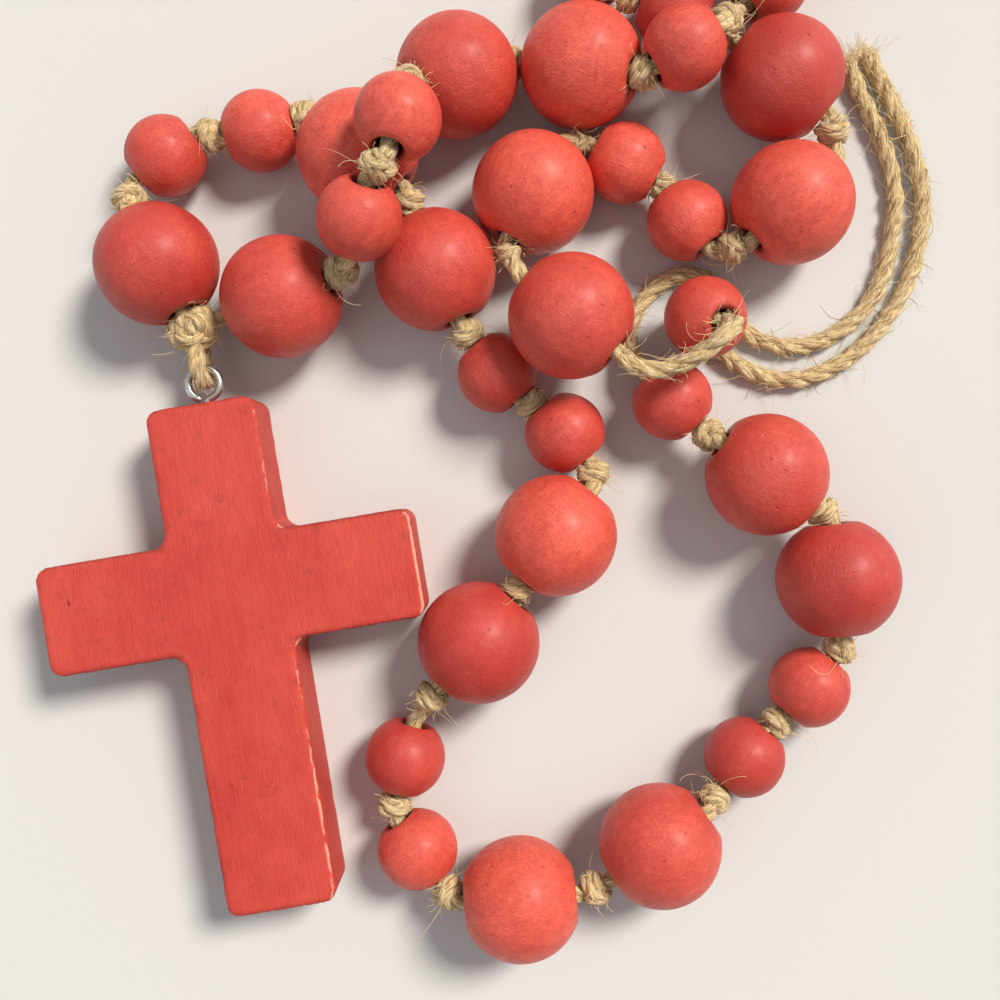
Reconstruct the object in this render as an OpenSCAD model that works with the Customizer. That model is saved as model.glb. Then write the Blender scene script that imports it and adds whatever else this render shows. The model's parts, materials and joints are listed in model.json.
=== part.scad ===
// Wall rosary of dyed wooden beads on jute twine, laid out on a table, with a flat wooden cross.
// Millimetres, +Z up, +Y away from the reader, origin under the middle of the bead chain.

/* [Beads] */
// Diameter of a large bead
large_d = 24; // [18:0.5:32]
// Diameter of a small bead
small_d = 16; // [12:0.5:22]
// Depth that the flat around each bead hole is cut below the round
end_trim = 1.1; // [0.8:0.1:1.6]
// Play of the twine in a bead hole, across the hole
bore_play = 1.4; // [0.8:0.1:2.4]
// Width of the bevel round each end of a bead hole
mouth_bevel = 0.8; // [0.2:0.1:1]

/* [Twine] */
// Diameter of the jute twine
twine_d = 3.6; // [2.4:0.1:4.6]
// Diameter of the knot that keeps two beads apart
knot_d = 7; // [5:0.1:9]
// Diameter of the large knot that carries the cross
centre_knot_d = 10.6; // [9:0.1:12]
// Gap between a knot and the beads that turn against it
knot_gap = 0.35; // [0.3:0.05:1]

/* [Cross] */
// Length of the upright
cross_len = 100; // [80:1:130]
// Width across both arms
cross_w = 74; // [60:1:90]
// Width of the upright
upright_w = 21.5; // [16:0.5:28]
// Height of the arms, measured along the upright
arm_h = 21.5; // [16:0.5:28]
// Distance from the top of the upright to the middle of the arms
arm_drop = 37.5; // [32:0.5:44]
// Thickness of the board
cross_t = 15; // [13:0.5:20]
// Radius of the outer corners
corner_r = 2.5; // [1:0.5:5]
// Radius of the inner corners
inner_r = 3; // [1:0.5:5]
// Turn of the cross on the table, in degrees
cross_turn = 9.5; // [4:0.5:12]

/* [Screw eye] */
// Diameter of the wire
wire_d = 1.5; // [1:0.1:2]
// Play of the twine in the eye, across the eye
eye_play = 1.3; // [1:0.1:2.4]
// Bare wire between the eye and the wood
neck_len = 0.6; // [0.4:0.1:3]
// Length of the shank in the wood
shank_len = 12; // [6:1:20]

/* [Hidden] */
$fn = 48;
// Bead list: kind, x, y, lift above the table, heading and tilt of the hole.
// Side A runs from the centre knot down and round the large loop.
side_a = [
    ["L", -67.5,  46.5, 0,  119, 0],
    ["S", -67.0,  69.0, 0,   37, 0],
    ["S", -48.0,  74.0, 0,   13, 0],
    ["L", -28.0,  68.5, 0,  -38, 0],
    ["L", -12.7,  45.3, 0,  -65, 0],
    ["S",  -0.5,  25.5, 0,  -50, 0],
    ["S",  13.0,  13.5, 0,  -50, 0],
    ["L",  11.0,  -7.0, 0, -129, 0],
    ["L",  -4.2, -28.0, 0, -131, 0],
    ["S", -19.0, -51.5, 0, -105, 0],
    ["S", -16.5, -70.0, 0,  -55, 0],
    ["L",   4.0, -78.5, 0,    5, 0],
    ["L",  31.5, -68.0, 0,   35, 0],
    ["S",  49.0, -51.5, 0,   50, 0],
    ["S",  62.0, -37.5, 0,   50, 0],
    ["L",  66.5, -15.5, 0,   96, 0],
    ["L",  52.5,   5.0, 0,  145, 0],
    ["S",  34.5,  20.0, 0,  135, 0],
];
// Side B runs from the centre knot over the stacked beads and round the far loop.
side_b = [
    ["L", -43.0,  40.0,  0,    15,  15],
    ["S", -26.0,  52.0, 18,    71,  30],
    ["S", -18.5,  69.0, 22,    77, -20],
    ["L",  -8.5,  83.5,  0,    24, -32],
    ["L",  16.0,  85.5,  0,   -17,  21],
    ["S",  35.2,  86.2, 11,    31,   6],
    ["S",  54.0, 104.0,  0,    45,   0],
    ["L",  52.0, 124.0,  0,   137,   0],
    ["L",  27.5, 125.5,  0,  -153,   0],
    ["S",  19.3, 107.3,  0,   -53,   0],
    ["S",  35.0,  98.4,  0,   -20,   0],
    ["L",  55.5,  83.0,  0,   -38,   0],
    ["L",  57.5,  58.5,  0,  -137,   0],
    ["S",  37.5,  56.0,  0,   127,  -8],
    ["S",  25.2,  67.6,  0,   152,   0],
    ["L",   6.5,  60.5,  0,  -118,   6],
    ["L",  13.5,  35.0,  7.5, -39,   5],
];
// The bead that both free ends close on.
closing = ["S", 40.0, 35.5, 6.5, -35, 62];

// Routes of the two free ends, from the last bead of each side to the cut end.
tail_a_route = [
    [27.6, 27.4, 6.8], [26.6, 30.2, 5.0], [26.4, 33.4, 3.2], [27.0, 36.6, 2.1],
    [28.6, 39.8, 1.8], [31.0, 42.8, 1.8], [34.0, 45.2, 1.8], [37.6, 46.4, 1.8],
    [41.4, 45.8, 1.8], [44.4, 43.4, 1.8], [46.6, 40.2, 1.8], [48.6, 36.8, 1.8],
    [51.4, 34.0, 1.8], [55.4, 32.2, 1.8], [60.4, 31.6, 1.8], [65.6, 32.6, 1.8],
    [70.6, 35.2, 1.8], [74.8, 39.0, 1.8], [77.8, 43.6, 1.8], [79.6, 49.0, 1.8],
    [80.8, 54.8, 1.8], [81.4, 60.8, 1.8], [80.8, 66.8, 1.8], [79.2, 72.6, 1.8],
    [76.8, 78.4, 1.8], [74.0, 84.2, 1.8], [71.6, 90.0, 1.8],
];
tail_b_route = [
    [25.2, 25.6, 20.8], [28.8, 24.6, 21.0], [32.6, 25.0, 21.8], [36.2, 26.6, 23.4],
    [39.4, 28.8, 24.8], [42.0, 31.0, 25.4], [43.6, 32.6, 24.6], [43.6, 33.0, 23.0],
    [43.0, 33.4, 21.4], [41.5, 34.4, 17.9], [40.0, 35.5, 14.5], [38.5, 36.6, 11.1],
    [37.0, 37.6, 7.7], [36.5, 37.7, 5.6], [36.9, 37.2, 3.6], [38.4, 36.0, 2.2],
    [40.8, 34.2, 1.8], [43.8, 31.8, 1.8], [47.4, 29.0, 1.8], [51.6, 26.4, 1.8],
    [56.6, 24.9, 1.8], [62.0, 25.0, 1.8], [67.4, 26.8, 1.8], [72.4, 29.8, 1.8],
    [76.8, 33.8, 1.8], [80.6, 38.6, 1.8], [83.6, 44.0, 1.8], [85.6, 50.0, 1.8],
    [86.8, 56.2, 1.8], [87.0, 62.4, 1.8], [86.0, 68.6, 1.8], [84.0, 74.6, 1.8],
    [81.4, 80.4, 1.8], [78.4, 86.2, 1.8], [75.8, 91.8, 1.8],
];

// The layout was set out for these sizes, and opens out with whichever of them grows most.
set_out_large_d = 24;
set_out_small_d = 16;
set_out_cross_w = 74;
spread = max(1, large_d / set_out_large_d, small_d / set_out_small_d, cross_w / set_out_cross_w);
// Middle of the chain and cross in the layout, which the origin lies under.
layout_mid = [-6, 23.5];
// Where the eye hangs in the loop of twine, in the layout.
pivot_at = [-60, 26.5];
pivot_z = cross_t / 2;

bore_d = twine_d + bore_play;
// Straight twine beyond a bead hole before it turns.
lead = 1.2;
eye_in_d = twine_d + eye_play;
eye_r = (eye_in_d + wire_d) / 2;
loop_gap = 0.3;
loop_r = wire_d / 2 + loop_gap + twine_d / 2;
cross_top_y = -2 * eye_r - wire_d / 2 - neck_len;
centre_knot_y = loop_r + centre_knot_d / 2 + 0.2;
// The large knot hangs between the holes of its two beads, a little above the eye.
centre_knot_z = pivot_z + 1.5;
twine_sides = 8;

BEADS_A = len(side_a);
BEADS_B = len(side_b);
function two(i) = str(i < 10 ? "0" : "", i);
function count_kind(list, kind, last) = len([for (i = [0:1:last]) if (list[i][0] == kind) i]);
function kind_word(kind) = kind == "L" ? "large_bead_" : "small_bead_";
all_beads = concat(side_a, side_b);
bead_names = [
    for (i = [0:len(all_beads) - 1])
        str(kind_word(all_beads[i][0]), two(count_kind(all_beads, all_beads[i][0], i)))
];

// Vectors and places
function unit(v) = v / norm(v);
function across(v, t) = unit(v - (v * t) * t);
function place(x, y) = [(x - layout_mid[0]) * spread, (y - layout_mid[1]) * spread];
function placed(p) = concat(place(p[0], p[1]), p[2]);
function bead_d(b) = b[0] == "L" ? large_d : small_d;
function bead_len(b) = bead_d(b) - 2 * end_trim;
function bead_mid(b) = concat(place(b[1], b[2]), b[3] + bead_d(b) / 2);
function bead_axis(b) = [cos(b[4]) * cos(b[5]), sin(b[4]) * cos(b[5]), sin(b[5])];
function inlet(b) = bead_mid(b) - bead_axis(b) * (bead_len(b) / 2 + lead);
function outlet(b) = bead_mid(b) + bead_axis(b) * (bead_len(b) / 2 + lead);
function from_eye(x, y) = place(pivot_at[0], pivot_at[1])
    + [x * cos(cross_turn) - y * sin(cross_turn), x * sin(cross_turn) + y * cos(cross_turn)];
centre_knot_mid = concat(from_eye(0, centre_knot_y), centre_knot_z);

// A tube swept along points: each ring's first spoke is carried on from the ring before.
function tangent(p, i) = unit(p[min(i + 1, len(p) - 1)] - p[max(i - 1, 0)]);
function spokes(p) = [
    for (i = 0, u = across([0.1, 0.2, 1], tangent(p, 0));
        i < len(p);
        i = i + 1, u = i < len(p) ? across(u, tangent(p, i)) : u) u
];
module tube(points, d) {
    n = twine_sides;
    ring_spokes = spokes(points);
    rings = [
        for (i = [0:len(points) - 1], s = [0:n - 1])
            points[i] + d / 2 * (cos(360 * s / n) * ring_spokes[i]
                + sin(360 * s / n) * cross(tangent(points, i), ring_spokes[i]))
    ];
    walls = [
        for (i = [0:len(points) - 2], s = [0:n - 1])
            [i * n + s, (i + 1) * n + s, (i + 1) * n + (s + 1) % n, i * n + (s + 1) % n]
    ];
    last = (len(points) - 1) * n;
    caps = [[for (s = [0:n - 1]) s], [for (s = [n - 1:-1:0]) last + s]];
    polyhedron(rings, concat(walls, caps));
}

// Turns +Z to lie along a bead's hole and moves it to the bead.
module at_bead(b) {
    translate(bead_mid(b)) rotate([0, 90 - b[5], b[4]]) children();
}

module bead(b) {
    d = bead_d(b);
    at_bead(b) difference() {
        intersection() {
            sphere(d = d);
            cylinder(d = d + 2, h = bead_len(b), center = true);
        }
        cylinder(d = bore_d, h = d + 2, center = true);
        for (end = [0, 1]) mirror([0, 0, end])
            translate([0, 0, bead_len(b) / 2 - mouth_bevel])
                cylinder(d1 = bore_d, d2 = bore_d + 4 * mouth_bevel, h = 2 * mouth_bevel);
    }
}

// The room that a turning bead needs beside a knot.
module bead_room(b) {
    at_bead(b)
        cylinder(d = bead_d(b) + 2 * knot_gap, h = bead_len(b) + 2 * knot_gap, center = true);
}

// A knot is smaller where another bead lies against the twine.
function knot_r(p, before, after) = min(concat([knot_d / 2], [
    for (b = concat(all_beads, [closing]))
        if (b != before && b != after) norm(bead_mid(b) - p) - bead_d(b) / 2 - knot_gap
]));
// A knot sits midway between its beads, or close to the first where they are far apart.
module knot(before, after) {
    link = inlet(after) - outlet(before);
    p = outlet(before) + unit(link) * min(norm(link) / 2, knot_d * 0.4);
    // The outside of the bend, which no bead cuts into.
    both = bead_axis(before) + bead_axis(after);
    outer = bead_axis(before) - bead_axis(after) + 0.1 * cross([0, 0, 1], both);
    difference() {
        translate(p) rotate([0, 0, atan2(outer[1], outer[0])])
            sphere(r = knot_r(p, before, after));
        bead_room(before);
        bead_room(after);
    }
}

module knots(side) {
    color("burlywood")
        for (i = [0:len(side) - 2]) knot(side[i], side[i + 1]);
}

function strand_route(side) = concat(
    [centre_knot_mid + (inlet(side[0]) - centre_knot_mid) * 0.3],
    [for (b = side, end = [0, 1]) end == 0 ? inlet(b) : outlet(b)]
);

module twine(side) {
    color("burlywood") tube(strand_route(side), twine_d);
}

module tail(side, route) {
    color("burlywood")
        tube(concat([outlet(side[len(side) - 1])], [for (p = route) placed(p)]), twine_d);
}

module centre_knot() {
    color("burlywood") difference() {
        translate(centre_knot_mid) rotate([0, 90, side_a[0][4]]) sphere(d = centre_knot_d);
        bead_room(side_a[0]);
        bead_room(side_b[0]);
    }
}

// Everything from the eye down is set out from the hinge point, with the cross along -Y.
module at_eye() {
    translate(concat(from_eye(0, 0), pivot_z)) rotate([0, 0, cross_turn]) children();
}

module eye_loop() {
    color("burlywood") difference() {
        at_eye() union() {
            rotate([180, -90, 0]) rotate_extrude(angle = 180)
                translate([loop_r, 0]) circle(d = twine_d);
            for (side = [-1, 1])
                translate([0, 0, side * loop_r]) rotate([-90, 0, 0])
                    cylinder(d = twine_d, h = centre_knot_y);
        }
        translate([centre_knot_mid[0], centre_knot_mid[1], 0])
            cylinder(d = centre_knot_d + 2 * knot_gap, h = centre_knot_z + centre_knot_d);
    }
}

module screw_eye() {
    color("silver") at_eye() union() {
        translate([0, -eye_r, 0]) rotate_extrude() translate([eye_r, 0]) circle(d = wire_d);
        translate([0, -2 * eye_r, 0]) rotate([90, 0, 0])
            cylinder(d = wire_d, h = shank_len + neck_len + wire_d / 2);
    }
}

module rounded_bar(x, y) {
    for (i = [-1, 1], j = [-1, 1])
        translate([i * (x / 2 - corner_r), j * (y / 2 - corner_r)]) circle(r = corner_r);
    square([x - 2 * corner_r, y], center = true);
    square([x, y - 2 * corner_r], center = true);
}

module inner_corner() {
    difference() {
        square(inner_r);
        translate([inner_r, inner_r]) circle(r = inner_r);
    }
}

module cross_outline() {
    translate([0, -cross_len / 2]) rounded_bar(upright_w, cross_len);
    translate([0, -arm_drop]) {
        rounded_bar(cross_w, arm_h);
        for (i = [0, 1], j = [0, 1]) mirror([i, 0]) mirror([0, j])
            translate([upright_w / 2, arm_h / 2]) inner_corner();
    }
}

module wooden_cross() {
    color("firebrick") at_eye() difference() {
        translate([0, cross_top_y, -pivot_z]) linear_extrude(cross_t) cross_outline();
        translate([0, -2 * eye_r, 0]) rotate([90, 0, 0])
            cylinder(d = wire_d, h = shank_len + neck_len + wire_d / 2);
    }
}

module coloured_bead(b) {
    color(b[0] == "L" ? "indianred" : "firebrick") bead(b);
}

wooden_cross();  // cross
screw_eye();
eye_loop();
centre_knot();
twine(side_a);  // twine_a
twine(side_b);  // twine_b
knots(side_a);  // knots_a
knots(side_b);  // knots_b
tail(side_a, tail_a_route);  // tail_a
tail(side_b, tail_b_route);  // tail_b
coloured_bead(closing);  // closing_bead
for (i = [0:len(all_beads) - 1])
    coloured_bead(all_beads[i]);
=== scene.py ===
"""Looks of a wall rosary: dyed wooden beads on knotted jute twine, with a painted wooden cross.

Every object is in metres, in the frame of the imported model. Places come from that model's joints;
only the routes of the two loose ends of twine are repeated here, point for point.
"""

import json
import logging
import math
import random
from collections.abc import Callable
from dataclasses import dataclass, field
from enum import Enum

import bpy
import numpy as np
from mathutils import Matrix, Vector, noise

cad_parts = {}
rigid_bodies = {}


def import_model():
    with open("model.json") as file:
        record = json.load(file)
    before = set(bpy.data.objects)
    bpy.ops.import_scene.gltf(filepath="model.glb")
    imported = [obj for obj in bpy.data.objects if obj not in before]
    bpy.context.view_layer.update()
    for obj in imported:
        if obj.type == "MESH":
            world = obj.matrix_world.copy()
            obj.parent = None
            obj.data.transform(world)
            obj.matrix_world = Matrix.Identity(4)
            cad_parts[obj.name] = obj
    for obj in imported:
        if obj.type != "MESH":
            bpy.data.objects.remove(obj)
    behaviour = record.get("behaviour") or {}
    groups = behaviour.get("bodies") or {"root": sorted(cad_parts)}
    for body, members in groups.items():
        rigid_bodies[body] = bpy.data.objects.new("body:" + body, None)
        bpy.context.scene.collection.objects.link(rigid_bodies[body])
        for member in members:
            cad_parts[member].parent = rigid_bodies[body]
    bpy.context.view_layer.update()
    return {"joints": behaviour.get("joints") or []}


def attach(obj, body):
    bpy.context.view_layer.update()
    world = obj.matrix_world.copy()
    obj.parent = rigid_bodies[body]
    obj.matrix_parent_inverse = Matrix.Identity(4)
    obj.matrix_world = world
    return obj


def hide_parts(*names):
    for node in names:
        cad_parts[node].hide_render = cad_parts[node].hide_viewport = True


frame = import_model()
log = logging.getLogger("rosary")

MM = 0.001
Point = tuple[float, float, float]
Colour = tuple[float, float, float]
Move = Callable[[Vector], Vector]
SAME_PLACE = 1e-5


# ---------------------------------------------------------------- sizes shared by the sub-assemblies


class Seed(Enum):
    """Where the chance of each sub-assembly starts."""

    SIDE_A = 31
    SIDE_B = 32
    CENTRE_KNOT = 33
    EYE_LOOP = 51
    LOOSE_END_A = 71
    LOOSE_END_B = 72
    BEADS = 400

    def chance(self, number: int = 0) -> random.Random:
        """A source of chance, a different one for each number."""
        return random.Random(self.value + number)


@dataclass(frozen=True)
class Jute:
    """Sizes of the twine and its knots, in metres.

    Attributes:
        radius: half the thickness of the twine.
        knot_radius: half the thickness of a knot between two beads.
        centre_knot_radius: half the thickness of the knot that carries the cross.
        pitch: length of twine in which its plies make one turn.
        knot_pitch: the same for twine that is wound into a knot.
        lead: straight twine beyond a bead before it turns.
    """

    radius: float = 1.8 * MM
    knot_radius: float = 3.5 * MM
    centre_knot_radius: float = 5.3 * MM
    pitch: float = 15.0 * MM
    knot_pitch: float = 8.5 * MM
    lead: float = 1.2 * MM


class BeadSize(Enum):
    """The two sizes of bead, as (radius, depth of the flat at each end)."""

    LARGE = (12.0 * MM, 1.1 * MM)
    SMALL = (8.0 * MM, 1.1 * MM)

    @property
    def radius(self) -> float:
        """Radius of the round."""
        return self.value[0]

    @property
    def half_length(self) -> float:
        """Half the length along the hole."""
        return self.value[0] - self.value[1]


class Shade(Enum):
    """How much dye a bead took up, from 0, deep, to 1, pale."""

    DEEP = 0.0
    RED = 0.4
    WARM = 0.7
    CORAL = 1.0


@dataclass(frozen=True)
class Bead:
    """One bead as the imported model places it.

    Attributes:
        name: its node and body.
        size: large or small.
        middle: centre of the bead.
        axis: direction of its hole.
    """

    name: str
    size: BeadSize
    middle: Vector
    axis: Vector

    @classmethod
    def from_frame(cls, name: str) -> "Bead":
        """Reads a bead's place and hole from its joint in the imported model.

        Args:
            name: node and body of the bead.

        Returns:
            The bead.
        """
        joint = next(j for j in frame["joints"] if j["child"] == name)
        size = BeadSize.LARGE if name.startswith("large") else BeadSize.SMALL
        return cls(name, size, Vector(joint["pos_m"]), Vector(joint["axis"]).normalized())

    def mouth(self, end: int, lead: float) -> Vector:
        """A point on the hole's line beyond one end.

        Args:
            end: -1 for the end where the twine comes in, 1 where it leaves.
            lead: distance beyond the flat.

        Returns:
            The point.
        """
        return self.middle + self.axis * end * (self.size.half_length + lead)

    def clear(self, point: Vector, gap: float) -> Vector:
        """Moves a point that lies in the bead to just outside it.

        Args:
            point: the point to test.
            gap: distance to leave between the point and the wood.

        Returns:
            The point itself, or the nearest fair place outside the bead.
        """
        offset = point - self.middle
        reach = self.size.radius + gap
        if offset.length > reach:
            return point
        along = offset.dot(self.axis)
        limit = self.size.half_length + gap
        if abs(along) > limit:
            return point
        if (offset - self.axis * along).length < 0.45 * self.size.radius:
            return point + self.axis * (math.copysign(limit, along) - along)
        return self.middle + offset.normalized() * reach


def bead_names() -> tuple[list[str], list[str]]:
    """Names of the beads on side A and side B, in the order in which they are strung."""
    counts = {"large": 0, "small": 0}
    sides: list[list[str]] = []
    for length in (18, 17):
        side = []
        for i in range(length):
            kind = "large" if i % 4 in (0, 3) else "small"
            counts[kind] += 1
            side.append(f"{kind}_bead_{counts[kind]:02d}")
        sides.append(side)
    return sides[0], sides[1]


# ---------------------------------------------------------------- finishes


class Graph:
    """A short way to write a material's nodes."""

    def __init__(self, name: str) -> None:
        """Starts a material with one Principled shader."""
        self.material = bpy.data.materials.new(name)
        self.material.use_nodes = True
        self.nodes = self.material.node_tree.nodes
        self.links = self.material.node_tree.links
        self.shader = self.nodes["Principled BSDF"]

    def set(self, **values: float) -> None:
        """Sets sockets of the shader by name, with underscores for spaces."""
        for key, value in values.items():
            self.shader.inputs[key.replace("_", " ")].default_value = value

    def feed(self, socket: str, output: bpy.types.NodeSocket) -> None:
        """Links an output to one of the shader's sockets."""
        self.links.new(output, self.shader.inputs[socket])

    def attribute(self, name: str, output: str = "Vector") -> bpy.types.NodeSocket:
        """Reads an attribute of the mesh."""
        node = self.nodes.new("ShaderNodeAttribute")
        node.attribute_name = name
        return node.outputs[output]

    def uv(self) -> bpy.types.NodeSocket:
        """Reads the piece's own UV map."""
        return self.nodes.new("ShaderNodeTexCoord").outputs["UV"]

    def stretched(self, source: bpy.types.NodeSocket, scale: Point) -> bpy.types.NodeSocket:
        """Scales a pattern's coordinates by a different amount each way."""
        node = self.nodes.new("ShaderNodeMapping")
        node.inputs["Scale"].default_value = scale
        self.links.new(source, node.inputs["Vector"])
        return node.outputs["Vector"]

    def noise(
        self, source: bpy.types.NodeSocket, scale: float, detail: float = 4.0, rough: float = 0.55
    ) -> bpy.types.NodeSocket:
        """Noise over the given coordinates.

        Args:
            source: the coordinates.
            scale: how many bumps go into one unit of them.
            detail: how many finer layers it has.
            rough: how strong the finer layers are.

        Returns:
            The noise, from 0 to 1.
        """
        node = self.nodes.new("ShaderNodeTexNoise")
        node.inputs["Scale"].default_value = scale
        node.inputs["Detail"].default_value = detail
        node.inputs["Roughness"].default_value = rough
        self.links.new(source, node.inputs["Vector"])
        return node.outputs["Fac"]

    def cells(self, source: bpy.types.NodeSocket, scale: float) -> bpy.types.NodeSocket:
        """Distance to the nearest of many scattered points."""
        node = self.nodes.new("ShaderNodeTexVoronoi")
        node.inputs["Scale"].default_value = scale
        self.links.new(source, node.inputs["Vector"])
        return node.outputs["Distance"]

    def span(
        self, source: bpy.types.NodeSocket, low: float, high: float, start: float, end: float
    ) -> bpy.types.NodeSocket:
        """Carries one range over to another, and holds it at the ends.

        Args:
            source: the value to carry over.
            low: where its range starts.
            high: where its range ends.
            start: what low becomes.
            end: what high becomes.

        Returns:
            The carried value.
        """
        node = self.nodes.new("ShaderNodeMapRange")
        for key, value in zip(("From Min", "From Max", "To Min", "To Max"), (low, high, start, end)):
            node.inputs[key].default_value = value
        self.links.new(source, node.inputs["Value"])
        return node.outputs["Result"]

    def maths(
        self,
        operation: str,
        a: bpy.types.NodeSocket,
        b: bpy.types.NodeSocket | float,
    ) -> bpy.types.NodeSocket:
        """Works one value out from two.

        Args:
            operation: what is done, in the Math node's own words.
            a: the first value.
            b: the second value, or a number.

        Returns:
            The result.
        """
        node = self.nodes.new("ShaderNodeMath")
        node.operation = operation
        self.links.new(a, node.inputs[0])
        if isinstance(b, (int, float)):
            node.inputs[1].default_value = b
        else:
            self.links.new(b, node.inputs[1])
        return node.outputs[0]

    def mix(
        self,
        share: bpy.types.NodeSocket,
        a: bpy.types.NodeSocket | Colour,
        b: bpy.types.NodeSocket | Colour,
    ) -> bpy.types.NodeSocket:
        """Mixes two colours.

        Args:
            share: how much of the second is taken, from 0 to 1.
            a: the first colour.
            b: the second colour.

        Returns:
            The mixed colour.
        """
        node = self.nodes.new("ShaderNodeMixRGB")
        self.links.new(share, node.inputs["Fac"])
        for key, value in (("Color1", a), ("Color2", b)):
            if isinstance(value, tuple):
                node.inputs[key].default_value = (*value, 1.0)
            else:
                self.links.new(value, node.inputs[key])
        return node.outputs["Color"]

    def bump(self, *layers: tuple[bpy.types.NodeSocket, float]) -> None:
        """Adds bumps to the shader, each a height and its depth in metres."""
        last = None
        for height, depth in layers:
            node = self.nodes.new("ShaderNodeBump")
            node.inputs["Strength"].default_value = 1.0
            node.inputs["Distance"].default_value = depth
            self.links.new(height, node.inputs["Height"])
            if last is not None:
                self.links.new(last, node.inputs["Normal"])
            last = node.outputs["Normal"]
        self.feed("Normal", last)


@dataclass(frozen=True)
class DyedWood:
    """Turned wood that was dipped in dye and left matt.

    Attributes:
        deep: colour where the dye is thickest.
        pale: colour where it is thinnest.
        bare: colour of fibres that took none.
        bore_shade_and_dark_pits: painted shade inside the hole and round its mouth; the same colour
            darkens the pits.
    """

    deep: Colour = (0.46, 0.028, 0.020)
    pale: Colour = (0.93, 0.140, 0.082)
    bare: Colour = (0.95, 0.34, 0.24)
    bore_shade_and_dark_pits: Colour = (0.14, 0.012, 0.009)

    def material(self) -> bpy.types.Material:
        """Builds the finish, which follows the grain attribute of each bead."""
        g = Graph("dyed_wood")
        place = g.attribute("grain")
        mottle = g.noise(g.stretched(place, (1.0, 1.0, 0.55)), 0.13, 5.0, 0.6)
        blotch = g.noise(g.stretched(place, (1.0, 1.0, 0.7)), 0.55, 6.0, 0.7)
        streak = g.noise(g.stretched(place, (1.0, 1.0, 0.07)), 2.6, 5.0, 0.65)
        fibre = g.noise(g.stretched(place, (1.0, 1.0, 0.05)), 7.5, 3.0, 0.5)
        tone = g.maths("ADD", g.attribute("tone", "Fac"), g.span(mottle, 0.3, 0.7, -0.34, 0.34))
        colour = g.mix(g.span(tone, -0.3, 1.3, 0.0, 1.0), self.deep, self.pale)
        colour = g.mix(g.span(blotch, 0.35, 0.72, 0.0, 0.60), colour, self.deep)
        colour = g.mix(g.span(streak, 0.56, 0.80, 0.0, 0.42), colour, self.deep)
        colour = g.mix(g.span(fibre, 0.64, 0.80, 0.0, 0.20), colour, self.bare)
        turning = g.noise(g.stretched(place, (0.03, 0.03, 1.0)), 2.6, 4.0, 0.8)
        worked = g.noise(place, 0.12, 2.0, 0.5)
        turned = g.span(turning, 0.52, 0.66, 0.0, 1.0)
        lathe = g.maths("MULTIPLY", turned, g.span(worked, 0.45, 0.6, 0.0, 0.5))
        colour = g.mix(lathe, colour, self.deep)
        pit = g.span(g.cells(g.stretched(place, (1.0, 1.0, 0.35)), 0.42), 0.035, 0.10, 1.0, 0.0)
        colour = g.mix(g.maths("MULTIPLY", pit, 0.38), colour, self.bore_shade_and_dark_pits)
        speck = g.noise(g.stretched(place, (1.0, 1.0, 0.6)), 2.3, 5.0, 0.8)
        colour = g.mix(g.span(speck, 0.50, 0.66, 0.0, 0.62), colour, self.deep)
        colour = g.mix(g.span(speck, 0.42, 0.28, 0.0, 0.22), colour, self.bare)
        scuffs = g.noise(g.stretched(place, (0.25, 1.0, 1.0)), 1.3, 2.0, 0.4)
        scuff = g.span(scuffs, 0.73, 0.80, 0.0, 0.30)
        colour = g.mix(scuff, colour, self.bare)
        # Painted shade in the hole and round its mouth, from the mask stored on each bead.
        colour = g.mix(g.attribute("bore_shade_and_dark_pits", "Fac"), colour, self.bore_shade_and_dark_pits)
        g.feed("Base Color", colour)
        g.feed("Roughness", g.span(blotch, 0.3, 0.75, 0.36, 0.54))
        g.set(Specular_IOR_Level=0.5, Coat_Weight=0.12, Coat_Roughness=0.30)
        g.bump(
            (streak, 0.10 * MM),
            (blotch, 0.24 * MM),
            (speck, 0.14 * MM),
            (g.maths("MULTIPLY", lathe, -1.0), 0.05 * MM),
            (g.maths("MULTIPLY", pit, -1.0), 0.16 * MM),
            (fibre, 0.05 * MM),
        )
        return g.material


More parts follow.
